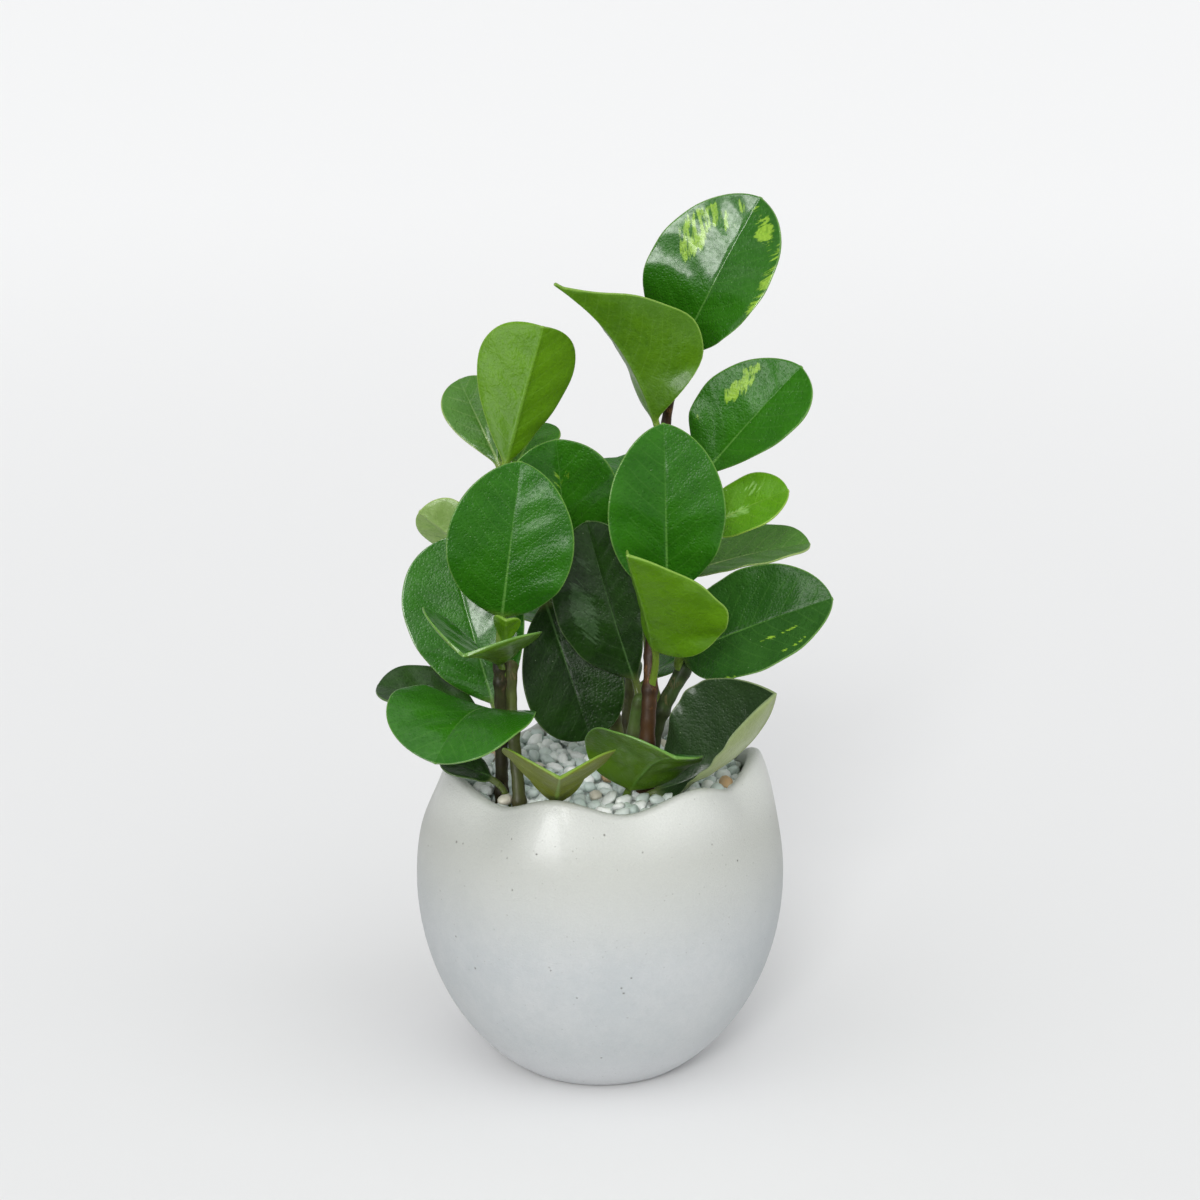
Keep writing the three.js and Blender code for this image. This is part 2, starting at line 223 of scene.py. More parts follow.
# Turns a screen colour, 0 to 255, into the light that it stands for
def paint(*colour):
    shares = [value / 255 for value in colour]
    return tuple(s / 12.92 if s <= 0.04045 else ((s + 0.055) / 1.055) ** 2.4 for s in shares) + (1.0,)


# Mixes two colours, each of them a socket or a screen colour
def tint(amount, *colours):
    first, second = [paint(*colour) if isinstance(colour, tuple) else colour for colour in colours]
    return put("ShaderNodeMix", {0: amount, 6: first, 7: second}, data_type="RGBA").outputs[2]


def objectPlace():
    return put("ShaderNodeTexCoord").outputs["Object"]


def attribute(name):
    return put("ShaderNodeAttribute", attribute_name=name).outputs["Fac"]


def noise(place, scale, detail=3.0, roughness=0.5, distortion=0.0):
    inputs = {"Vector": place, "Scale": scale, "Detail": detail, "Roughness": roughness,
              "Distortion": distortion}
    return put("ShaderNodeTexNoise", inputs).outputs["Fac"]


def bump(height, distance, strength, normal=None):
    values = {"Height": height, "Distance": distance, "Strength": strength}
    if normal is not None:
        values["Normal"] = normal
    return put("ShaderNodeBump", values).outputs[0]


def feed(sockets, values):
    for label, value in values.items():
        current["tree"].links.new(value, sockets[label])


# A node group, in which an input's value gives the kind of its socket, or a word names it
def newGroup(name, inputs, outputs, kind="ShaderNodeTree"):
    tree = current["tree"] = bpy.data.node_groups.new(name, kind)
    kinds = {float: "Float", int: "Int", tuple: "Vector"}
    for label, value in inputs.items():
        plain = isinstance(value, str)
        socketKind = "NodeSocket" + (value if plain else kinds[type(value)])
        socket = tree.interface.new_socket(label, in_out="INPUT", socket_type=socketKind)
        if not plain:
            socket.default_value = value
    for label in outputs:
        socketKind = "NodeSocket" + ("Geometry" if label == "Geometry" else "Float")
        tree.interface.new_socket(label, in_out="OUTPUT", socket_type=socketKind)
    return tree, put("NodeGroupInput").outputs, put("NodeGroupOutput").inputs


def newMaterial(name, ior, specular, constants=None):
    material = bpy.data.materials.new(name)
    material.use_nodes = True
    current["tree"] = material.node_tree
    material.node_tree.nodes.clear()
    constants = {"IOR": ior, "Specular IOR Level": specular, **(constants or {})}
    shader = put("ShaderNodeBsdfPrincipled", constants)
    put("ShaderNodeOutputMaterial", {"Surface": shader.outputs[0]})
    return material, shader.inputs


def newShape(name, inputs):
    return newGroup(name, {"Geometry": "Geometry", **inputs, "Material": "Material"}, ["Geometry"],
                    "GeometryNodeTree")[1:]


def shaped(kind, inputs=None, **settings):
    return put("GeometryNode" + kind, inputs, **settings).outputs[0]


def finishShape(given, result, geometry):
    smooth = shaped("SetShadeSmooth", {"Geometry": geometry})
    real = shaped("RealizeInstances", {"Geometry": smooth})
    painted = shaped("SetMaterial", {"Geometry": real, "Material": given["Material"]})
    feed(result, {"Geometry": painted})
    return current["tree"]


# Shader groups
# Two sizes of cloudy variation on object coordinates
def makeMottling():
    tree, given, result = newGroup("mottling", {"Coarse": 60.0, "Fine": 400.0, "Shift": 0.0},
                                   ["Value", "Grain"])
    shift = vectorOf(X=given["Shift"], Z=given["Shift"])
    moved = vectorCalc("ADD", objectPlace(), shift)
    coarse = noise(moved, given["Coarse"], 4.0, 0.55)
    fine = noise(moved, given["Fine"], 2.0, 0.6)
    both = plus(times(coarse, 0.7), times(fine, 0.3))
    feed(result, {"Value": ease(both, 0.32, 0.68), "Grain": fine})
    return tree


# Round dots at random places, from the number of cells to a metre, a dot's radius as a share of its cell
# and the share of the cells that have one
def makeSpecks():
    tree, given, result = newGroup("specks", {"Cells": 60.0, "Size": 0.03, "Kept": 0.5}, ["Mask"])
    cells = put("ShaderNodeTexVoronoi", {"Vector": objectPlace(), "Scale": given["Cells"]}).outputs
    near = ease(cells["Distance"], given["Size"], 0.0)
    pick = put("ShaderNodeSeparateColor", {"Color": cells["Color"]}).outputs[0]
    feed(result, {"Mask": times(near, calc("LESS_THAN", pick, given["Kept"]))})
    return tree


# Masks of a leaf's midrib, side veins and margin, on its flat coordinates in units of 100 mm
def makeVeins():
    tree, given, result = newGroup("leafVeins", {
        "Rib At Base": 0.009, "Rib At Tip": 0.002, "Spacing": 0.065, "Slope": 0.75, "Arch": 1.6,
        "Wander": 0.05, "Edge": 0.7}, ["Midrib", "Side", "Margin"])
    flat = put("ShaderNodeUVMap", uv_map="leafUv").outputs[0]
    parts = axes(flat)
    out = calc("ABSOLUTE", parts["X"])
    width = put("ShaderNodeMapRange", {"Value": attribute("along"), "To Min": given["Rib At Base"],
                                       "To Max": given["Rib At Tip"]}).outputs[0]
    rise = minus(parts["Y"], plus(times(out, given["Slope"]), times(out, out, given["Arch"])))
    rise = plus(rise, times(noise(flat, 4.0, 2.0), given["Wander"]))
    place = calc("FRACT", calc("DIVIDE", rise, given["Spacing"]))
    line = ease(calc("ABSOLUTE", minus(place, 0.5)), 0.1, 0.0)
    inner = ease(calc("ABSOLUTE", attribute("across")), 0.95, 0.55)
    feed(result, {"Midrib": ease(calc("DIVIDE", out, width), 1.0, 0.25), "Side": times(line, inner),
                  "Margin": ease(attribute("rim"), given["Edge"], 0.1)})
    return tree


mottlingGroup = makeMottling()
specksGroup = makeSpecks()
veinsGroup = makeVeins()


def grouped(group, *values):
    return put("ShaderNodeGroup", dict(enumerate(values)), node_tree=group).outputs


def mottled(coarse, fine, shift):
    return grouped(mottlingGroup, coarse, fine, shift)


def specked(cells, size, kept):
    return grouped(specksGroup, cells, size, kept)["Mask"]


# Stems, with their thickness at the foot and at the top, their colours low and high, on scars and on
# dry patches, and the way they run, from inside the soil up
stemParts = ("thick", "thin", "low", "high", "scar", "dry", "path")
stems = {name: dict(zip(stemParts, values)) for name, values in {
    "left_tall": (5.4, 3.8, (72, 76, 38), (98, 118, 50), (52, 42, 26), (122, 110, 74), [(-31, -38, 100),
        (-32, -39, 128), (-35, -28, 162), (-34, -18, 190), (-37, -6, 225), (-38, -2, 248)]),
    "left_short": (5.4, 4.6, (56, 46, 28), (58, 68, 32), (36, 26, 18), (98, 82, 56), [(-40, -26, 100),
        (-39, -28, 128), (-39, -34, 155), (-39, -38, 182)]),
    "right_tall": (7, 3.4, (78, 52, 24), (60, 42, 24), (38, 24, 14), (136, 92, 46), [(18, -22, 100),
        (18, -22, 128), (20, -15, 165), (21, -8, 190), (24, 2, 230), (26, 5, 265), (30, 1, 292)]),
    "right_short": (7, 6, (54, 44, 28), (54, 80, 34), (34, 32, 20), (104, 98, 64), [(19, -4, 100),
        (20, -4, 128), (24, -5, 148), (34, -4, 168)]),
    "middle_short": (5.6, 5, (96, 96, 64), (78, 112, 46), (64, 62, 38), (146, 138, 108), [(11, -5, 100),
        (13, -6, 128), (14, -7, 146), (16, -8, 156)]),
    "middle_tall": (6, 4.6, (96, 96, 56), (92, 118, 50), (62, 56, 34), (140, 130, 92), [(8, 14, 100),
        (8, 14, 128), (3, 12, 152), (-6, 7, 182), (-10, 5, 208)]),
    "back_short": (6, 4.8, (100, 92, 66), (90, 112, 50), (62, 52, 36), (146, 132, 100), [(10, 30, 100),
        (11, 31, 128), (13, 33, 150), (14, 34, 172)]),
}.items()}


# Points along a centripetal Catmull-Rom curve through the given ones
def smoothPath(points, count):
    p = np.array(points, dtype=float)
    p = np.vstack([2 * p[0] - p[1], p, 2 * p[-1] - p[-2]])
    found = []
    for share in np.linspace(0, 1, count):
        place = share * (len(p) - 3)
        i = min(int(place), len(p) - 4)
        t = place - i
        a, b, c, d = p[i:i + 4]
        d0, d1, d2 = (np.sum((q - r) ** 2) ** 0.25 for q, r in ((b, a), (c, b), (d, c)))
        t1 = ((b - a) / d0 - (c - a) / (d0 + d1) + (c - b) / d1) * d1
        t2 = ((c - b) / d1 - (d - b) / (d1 + d2) + (d - c) / d2) * d1
        found.append(b + t1 * t + (-3 * b + 3 * c - 2 * t1 - t2) * t * t + (2 * b - 2 * c + t1 + t2) * t ** 3)
    return np.array(found)


stemCurves = {name: smoothPath(stem["path"], 401) for name, stem in stems.items()}


def stemPoint(name, height):
    curve = stemCurves[name]
    above = np.nonzero(curve[:, 2] >= height)[0]
    return curve[above[0] if len(above) else -1]


# Leaves, each named after its stem, or after the soil that it comes up from
ordinary = {
    "baseTaper": 0.75, "tipTaper": 0.5, "fold": 8, "cup": 10, "bend": 15,
    "skew": 0, "lean": 0, "stalk": 1.7, "tone": 0, "shine": 1, "streaks": [],
}


# Where a leaf's stalk starts, as a height on its stem or a place, where its blade starts and ends,
# which way its face looks, its width, its look and what differs from an ordinary leaf
def leafFrom(foot, base, tip, face, width, look, **own):
    return {**ordinary, "foot": foot, "base": base, "tip": tip, "face": face, "width": width,
            "look": look, **own}


leaves = {
    "right_tall_top": leafFrom(288, (32, 0, 296), (61, -20, 358), (-0.25, -0.9, 0.4), 51, "ripe",
        baseTaper=0.6, fold=12, skew=0.2, lean=-0.08, shine=1.5, streaks=[(0.62, -0.55, 0.2, 0.22, 0.95),
        (0.74, -0.8, 0.16, 0.2, 0.9), (0.93, -0.2, 0.07, 0.6, 0.75), (0.88, 0.5, 0.1, 0.4, 0.9),
        (0.66, 0.92, 0.3, 0.14, 0.95), (0.8, -0.4, 0.1, 0.35, 0.72)]),
    "right_tall_upper": leafFrom(255, (22, -4, 268), (-17, -26, 326), (0.6, 0.55, 0.58), 60, "fresh",
        baseTaper=1.4, tipTaper=1.9, fold=20, cup=20, bend=45, lean=-0.12, tone=-0.6),
    "right_tall_right": leafFrom(236, (42, 0, 247), (78, -14, 292), (-0.26, -0.9, 0.47), 41, "ripe",
        fold=10, skew=0.3, lean=-0.12, tone=0.4, shine=0.16, streaks=[(0.6, -0.56, 0.16, 0.2, 1),
        (0.76, -0.75, 0.12, 0.22, 0.85), (0.25, -0.8, 0.05, 0.12, 0.7)]),
    "right_tall_front": leafFrom(196, (26, -30, 206), (24, -40, 275), (0.08, -0.97, 0.2), 46, "ripe",
        baseTaper=0.6, tipTaper=0.6, fold=4, tone=-0.15, shine=0.5),
    "right_tall_low": leafFrom(162, (21.5, -27, 182.5), (10.5, -72, 231.5), (0.69, 0.44, 0.55), 49, "fresh",
        baseTaper=0.7, tipTaper=0.75, fold=20, cup=20, bend=5, lean=-0.38, tone=0.25),
    "right_tall_small": leafFrom(216, (39, 0, 223), (74, -10, 242), (-0.2, -0.7, 0.7), 26, "sprout",
        tone=0.1, streaks=[(0.45, 0.1, 0.3, 0.3, 0.8), (0.7, -0.5, 0.2, 0.3, 0.75)]),
    "right_tall_back": leafFrom(226, (18, 12, 230), (7, 50, 242), (-0.1, -0.3, 0.95), 42, "ripe",
        streaks=[(0.5, 0.6, 0.3, 0.25, 0.7)]),
    "right_short_right": leafFrom(166, (33, -7, 174), (90.5, -30, 203.5), (-0.13, -0.85, 0.65), 46, "muted",
        baseTaper=0.6, tipTaper=0.55, fold=12, stalk=2.2, tone=-0.4, shine=0.15,
        streaks=[(0.65, 0.4, 0.2, 0.09, 0.85), (0.7, 0.86, 0.2, 0.09, 0.8), (0.35, 0.95, 0.1, 0.1, 0.75)]),
    "right_short_upper": leafFrom(150, (36, 18, 201), (85, 20, 213), (0, -0.2, 1), 36, "pale", stalk=2.1,
        tone=0.2),
    "left_short_back": leafFrom(180, (-38, -36, 198), (-30, -48, 262), (0, -0.97, 0.15), 49.5, "ripe",
        baseTaper=0.6, tipTaper=0.6, fold=4, tone=-0.2, shine=0.3),
    "left_short_front": leafFrom(152, (-42, -42, 161), (-62, -84, 154), (0, -0.2, 1), 59, "ripe", bend=75,
        fold=9, cup=5, baseTaper=0.6, tone=-0.1),
    "left_short_side": leafFrom(146, (-47, -28, 156), (-88, -20, 165), (0.1, -0.3, 1), 32, "shaded",
        baseTaper=0.9, tone=0.3),
    "left_short_folded": leafFrom(172, (-39, -42, 181), (-51, -80, 195), (0.25, 0.4, 0.9), 55, "ripe",
        baseTaper=1.2, fold=19, cup=22, tone=-0.1),
    "left_short_sprout": leafFrom(178, (-36.5, -43.5, 188.5), (-36, -50, 200.5), (0.1, 0.75, 0.5), 13,
        "fresh", baseTaper=1.2, fold=20, cup=30, stalk=0.8, tone=0.4),
    "left_tall_top": leafFrom(246, (-37, -6, 252), (-22, -10, 307), (-0.2, 0.95, -0.1), 41, "fresh",
        baseTaper=1, tipTaper=0.45, fold=16, lean=0.05, tone=0.3, shine=0.03),
    "left_tall_back": leafFrom(240, (-40, 3, 250), (-56, 18, 281), (-0.2, -0.75, 0.6), 24, "pale",
        baseTaper=1.1, tone=0.1),
    "left_tall_far": leafFrom(232, (-33, 10, 248), (-24, 34, 260), (0, -0.5, 0.85), 24, "fresh", tone=0.1),
    "left_tall_large": leafFrom(150, (-42, -21, 158.5), (-60, -14, 224), (-0.2, -0.95, 0.3), 49, "ripe",
        tone=0.1, shine=1.6),
    "left_tall_pale": leafFrom(205, (-49, 4, 212), (-72, 6, 230), (0.1, 0.8, 0.5), 28, "pale",
        streaks=[(0.6, 0.3, 0.3, 0.3, 0.8)]),
    "left_tall_rear": leafFrom(214, (-34, 10, 220), (-29, 54, 227), (0, -0.3, 1), 42, "ripe"),
    "middle_tall_top": leafFrom(205, (-13, 0, 212), (-17, -12, 263), (0, -0.95, 0.3), 46, "ripe", tone=0.1,
        streaks=[(0.7, 0.1, 0.14, 0.5, 0.55)]),
    "middle_tall_drooping": leafFrom(184, (-22, 7, 192), (-4, -3.5, 138), (0, -0.85, 0.5), 41, "shaded",
        bend=25, tone=-0.45, shine=0.25),
    "middle_tall_back": leafFrom(196, (-13, 16, 204), (-16, 62, 211), (0, -0.2, 1), 44, "ripe"),
    # The long middle leaf's streaks are a painted highlight: grey-green patches standing for sheen on its
    # left half
    "middle_short_long": leafFrom(154, (14, -6, 164), (-5, -15, 231), (-0.33, -0.9, 0.15), 41, "shaded",
        baseTaper=0.8, fold=14, lean=-0.08, skew=0.2, tone=-0.1, streaks=[(0.5, -0.5, 0.26, 0.32, 1),
        (0.75, -0.35, 0.12, 0.3, 0.8)]),
    "back_short_top": leafFrom(168, (17, 40, 178), (27, 56, 222), (0, 0.9, 0.4), 40, "fresh", bend=-15),
    "back_short_right": leafFrom(146, (22, 37, 152), (64, 52, 172), (-0.3, -0.1, 0.95), 44, "ripe"),
    "back_short_left": leafFrom(158, (5, 40, 164), (-40, 60, 176), (0.2, -0.1, 0.95), 44, "ripe",
        streaks=[(0.6, -0.6, 0.25, 0.2, 0.8)]),
    "back_short_low": leafFrom(134, (8, 43, 141), (-12, 86, 141), (0, 0.1, 1), 44, "shaded", bend=35),
    "soil_front_wide": leafFrom((10, -30, 104), (12, -33, 127), (29, -68, 151), (0.13, 0.57, 0.81), 47,
        "ripe", baseTaper=0.5, bend=50, fold=6, lean=0.22, tone=-0.1),
    "soil_front_folded": leafFrom((-15, -45, 104), (-17, -50, 127), (-15, -92, 151), (0, 0.5, 0.9), 50,
        "olive", baseTaper=1.1, fold=20, cup=20, tone=-0.1),
    "soil_left_low": leafFrom((-41, -34, 104), (-43, -34, 131), (-63, -31, 138), (0, -0.3, 1), 20,
        "shaded"),
    "soil_right_large": leafFrom((22, -29, 104), (22, -32, 125), (67.5, -50, 171), (-0.67, -0.39, 0.63), 60,
        "dark", baseTaper=0.7, tipTaper=0.42, bend=-70, fold=35, cup=20, skew=0.2, lean=-0.06),
}
leafShape = {
    "rows": 46, "stalkRows": 14, "tipRows": 3, "tipReach": 0.3, "uvUnit": 100,
    "thickness": 1.4, "edge": 0.8, "tipHalfWidth": 0.9, "round": 0.75, "edgeTurn": 0.25,
    "foldStart": 0.25, "thickening": 5, "stalkFlatness": 0.8, "flare": 0.22, "flareReach": 2.2,
    "nearMidrib": (0, 0.45, 1.0, 1.8, 3.2), "inner": (0.14, 0.3, 0.47, 0.64, 0.82),
    "nearEdge": (0.75, 0.45, 0.2, 0.06, 0),
    "groove": 0.28, "rib": 0.55, "ribWidth": 0.75, "wave": 0.55, "waveLength": 17, "waveShift": 1.3,
    "bulge": 0.34, "bulgeSlope": 0.8, "bulgeLength": 2.5, "bulgeShift": 0.2,
}


def halfWidth(leaf, v, side, shape):
    a = leaf["baseTaper"] * (1 + leaf["skew"] * side)
    b = leaf["tipTaper"] * (1 - leaf["skew"] * side)
    widest = a / (a + b)
    full = widest ** a * (1 - widest) ** b
    blade = leaf["width"] / 2 * v ** a * (1 - v) ** b / full
    stalk = leaf["stalk"] * (1 - v) ** leaf["tipTaper"]
    return max(hypot(blade * (1 + leaf["lean"] * side), stalk), shape["tipHalfWidth"])


# Distances from the midrib of a section's columns, the midrib first and the edge last
def halfSection(half, shape):
    edge = min(1, half / 2.5)
    near = min(1, half / 8)
    start = shape["nearMidrib"][-1] * near
    end = half - shape["nearEdge"][0] * edge
    inner = [blend(start, end, share) for share in shape["inner"]]
    return [d * near for d in shape["nearMidrib"]] + inner + [half - d * edge for d in shape["nearEdge"]]


# One closed ring of points round a leaf, each with its values for across, along, upper and rim, and its
# place on the flat leaf
def leafSection(row, shape):
    ring = []
    fold, cup = row["fold"], max(row["cup"], 0.01)
    for face, side in ((1, -1), (1, 1), (-1, 1), (-1, -1)):
        half = row["halves"][side > 0]
        columns = list(enumerate(halfSection(half, shape)))
        for column, distance in columns if side == face else columns[::-1]:
            if (column == 0 and side != face) or (face < 0 and column == len(columns) - 1):
                continue
            u = distance / half
            turn = fold + cup * u
            out = half * (sin(turn) - sin(fold)) / cup
            lift = half * (cos(fold) - cos(turn)) / cup
            lift += row["wave"] * (u ** 3) * sin(row["phase"] + side * shape["waveShift"])
            crossing = (row["run"] - shape["bulgeSlope"] * distance) / shape["bulgeLength"]
            rolling = sin(crossing + side + row["phase"] * shape["bulgeShift"])
            lift += row["bulge"] * sin(pi * u ** 0.8) * rolling
            away = blend(shape["edge"], row["thickness"], sqrt(max(0, 1 - u * u))) / 2
            limit = min(row["round"], half)
            fromEdge = min(half - distance, limit) / limit
            away *= sqrt(max(0, 1 - (1 - fromEdge) ** 2)) * row["closing"]
            middle = exp(-(distance / shape["ribWidth"]) ** 2) * row["ribbed"]
            away += (-shape["groove"] if face > 0 else shape["rib"]) * middle
            leaning = row["normal"] * cos(turn) - row["across"] * side * sin(turn)
            if distance == 0:
                leaning = row["normal"]
            point = row["centre"] + row["across"] * side * out + row["normal"] * lift
            upper = 0.5 + 0.5 * face * min(1, (half - distance) / shape["edgeTurn"])
            ring.append((*(point + leaning * face * away), side * u, row["along"], upper,
                         min(half - distance, row["toTip"]), side * distance / shape["uvUnit"],
                         row["run"] / shape["uvUnit"]))
    return ring


# The sections of a leaf, along its stalk and then its arched and folded blade
def leafRows(leaf, foot, shape, seed):
    base, tip, face = (np.array(leaf[part], float) for part in ("base", "tip", "face"))
    along = unit(tip - base)
    face = unit(face - along * face.dot(along))
    side = np.cross(along, face)
    bend = radians(leaf["bend"])
    length = np.linalg.norm(tip - base) * (bend / 2) / sin(bend / 2)
    fold, cup = radians(leaf["fold"]), radians(leaf["cup"])
    stalkThickness = 2 * leaf["stalk"] * shape["stalkFlatness"]
    plain = {"fold": 0, "cup": 0, "wave": 0, "bulge": 0, "phase": 0, "closing": 1, "ribbed": 0}
    rows = []

    start = along * cos(bend / 2) + face * sin(bend / 2)
    reach = np.linalg.norm(foot - base)
    knee = base - start * reach / 2
    first = min(0.3, 1.2 / reach)
    for share in np.linspace(first, 1, shape["stalkRows"], endpoint=False):
        centre = foot * (1 - share) ** 2 + knee * 2 * share * (1 - share) + base * share ** 2
        tangent = unit((knee - foot) * (1 - share) + (base - knee) * share)
        across = unit(side - tangent * side.dot(tangent))
        flare = 1 + shape["flare"] * exp(-((share - first) * reach / shape["flareReach"]) ** 2)
        half = leaf["stalk"] * flare
        rows.append({**plain, "centre": centre, "across": across, "normal": np.cross(across, tangent),
                     "halves": (half, half), "thickness": stalkThickness * flare, "round": half,
                     "along": share - 1, "run": (share - 1) * reach, "toTip": 10})

    thick = max(stalkThickness, shape["thickness"])
    for row in range(shape["rows"] + 1):
        v = (1 - cos(row / shape["rows"] * pi)) / 2
        tilt = bend * (0.5 - v)
        centre = (base + along * length * (sin(bend / 2) - sin(tilt)) / bend
                  + face * length * (cos(tilt) - cos(bend / 2)) / bend)
        opened = min(1, v / shape["foldStart"])
        grown = smoothstep(opened)
        stalky = (1 - v) ** shape["thickening"]
        halves = (halfWidth(leaf, v, -1, shape), halfWidth(leaf, v, 1, shape))
        rows.append({
            "centre": centre, "across": side, "normal": face * cos(tilt) - along * sin(tilt),
            "halves": halves, "thickness": blend(shape["thickness"], thick, stalky), "closing": 1,
            "round": blend(shape["round"], max(halves), stalky),
            "fold": fold * opened, "cup": cup * opened, "wave": shape["wave"] * grown * (1 - v) ** 0.3,
            "bulge": shape["bulge"] * grown * min(1, (1 - v) * 5), "ribbed": grown * min(1, (1 - v) * 7),
            "phase": seed * 2.1 + v * length / shape["waveLength"] * 2 * pi,
            "along": v, "run": v * length, "toTip": (1 - v) * length + 0.3})

    last = rows[-1]
    forward = np.cross(last["normal"], last["across"])
    for step in range(1, shape["tipRows"] + 1):
        angle = step / (shape["tipRows"] + 0.02) * pi / 2
        half = last["halves"][0] * cos(angle)
        ahead = shape["tipReach"] * sin(angle)
        rows.append({**last, "centre": last["centre"] + forward * ahead, "halves": (half, half),
                     "closing": cos(angle), "toTip": 0.1})
    return rows


def makeLeafMesh(name, leaf, foot, shape, seed):
    rings = [leafSection(row, shape) for row in leafRows(leaf, foot, shape, seed)]
    count = len(rings[0])
    data = np.array([point for ring in rings for point in ring])
    last = (len(rings) - 1) * count
    faces = quadsBetween(len(rings), count)
    for column in range(count):
        after = (column + 1) % count
        faces += [(after, column, last + count), (last + column, last + after, last + count + 1)]
    ends = data.reshape(len(rings), count, -1)[[0, -1]].mean(axis=1)
    data = np.vstack([data, ends])
    mesh = newMesh(name, data[:, :3], faces=faces)
    # Streak patches: the leaf's own variegation, and on the long middle leaf a painted highlight
    streak = np.zeros(len(data))
    for v, u, tall, wide, strength in leaf["streaks"]:
        share = ((data[:, 4] - v) / tall) ** 2 + ((data[:, 3] - u) / wide) ** 2
        streak = np.maximum(streak, strength * np.exp(-share ** 2))
    same = np.ones(len(data))
    for label, values in (("across", data[:, 3]), ("along", data[:, 4]), ("upper", data[:, 5]),
                          ("rim", data[:, 6]), ("streak", streak), ("tone", same * (0.5 + leaf["tone"])),
                          ("shine", same * leaf["shine"])):
        setAttribute(mesh, label, values)
    corners = np.zeros(len(mesh.loops), dtype=np.int32)
    mesh.loops.foreach_get("vertex_index", corners)
    mesh.uv_layers.new(name="leafUv").data.foreach_set("uv", data[corners][:, 7:9].astype(np.float32).ravel())
    return cleanMesh(mesh)


# The shaded look is painted shade: darker, duller leaf colours for leaves that sit in shade, and its streak
# colour is a painted highlight. The dark look is the same painted shade on the large low right leaf, whose
# underside stays pale.
lookParts = ("upper", "upperDeep", "lower", "lowerDeep", "vein", "margin",
             "stalk", "streak", "rough", "gloss")
leafLooks = {name: dict(zip(lookParts, values)) for name, values in {
    "fresh": ((66, 132, 19), (44, 104, 13), (96, 144, 14), (68, 112, 12), (130, 172, 74), (146, 178, 84),
              (118, 146, 50), (150, 190, 50), 0.36, 0.2),
    "ripe": ((52, 116, 18), (32, 88, 11), (88, 124, 22), (62, 98, 18), (104, 156, 70), (116, 158, 76),
              (104, 130, 50), (150, 192, 56), 0.27, 0.44),
    "shaded": ((42, 78, 22), (22, 44, 14), (70, 98, 44), (52, 76, 36), (84, 120, 66), (98, 124, 74),
              (92, 106, 50), (66, 94, 58), 0.28, 0.4),
    "dark": ((52, 78, 40), (38, 60, 32), (152, 166, 112), (122, 136, 84), (80, 106, 66), (130, 146, 104),
              (96, 110, 60), (120, 140, 60), 0.36, 0.28),
    "pale": ((80, 128, 46), (60, 104, 34), (150, 178, 104), (120, 154, 74), (164, 188, 120),
              (170, 188, 118), (130, 152, 76), (96, 138, 58), 0.34, 0.25),
    "sprout": ((98, 156, 22), (76, 134, 18), (132, 170, 29), (104, 146, 23), (154, 190, 84), (158, 188, 80),
              (132, 160, 60), (148, 198, 104), 0.34, 0.25),
}.items()}
leafLooks["olive"] = {**leafLooks["ripe"], "lower": (112, 124, 38), "lowerDeep": (84, 92, 26),
                      "margin": (134, 166, 62), "rough": 0.42, "gloss": 0.06}
leafLooks["muted"] = {**leafLooks["ripe"], "upper": (54, 102, 34), "upperDeep": (36, 78, 24)}
leafSkin = {
    "clouds": (62.0, 520.0), "toneShare": 0.5, "sideVein": 0.1, "midrib": 0.7, "midribTip": 0.12,
    "underRib": 0.3, "margin": 0.6, "veinTurn": 0.6, "fleckStretch": (52.0, 8.0), "fleckStart": 0.85,
    "leather": 900.0, "leatherDepth": 0.00014, "swell": 0.0006, "underside": 0.3,
    "whiteSpeck": (260.0, 0.075, 0.45), "white": (196, 214, 176),
    "darkSpeck": (200.0, 0.075, 0.4), "dark": (24, 36, 18),
}


# Leaf coordinates turned to run along the side veins, told apart on the two halves
def veinwise(turn, stretch):
    flat = axes(put("ShaderNodeUVMap", uv_map="leafUv").outputs[0])
    out = calc("ABSOLUTE", flat["X"])
    sine, cosine = sin(turn), cos(turn)
    over = minus(times(out, cosine), times(flat["Y"], sine))
    along = plus(times(out, sine), times(flat["Y"], cosine))
    return vectorOf(X=times(over, stretch[0]), Y=times(along, stretch[1]),
                    Z=times(calc("SIGN", flat["X"]), 5.0))


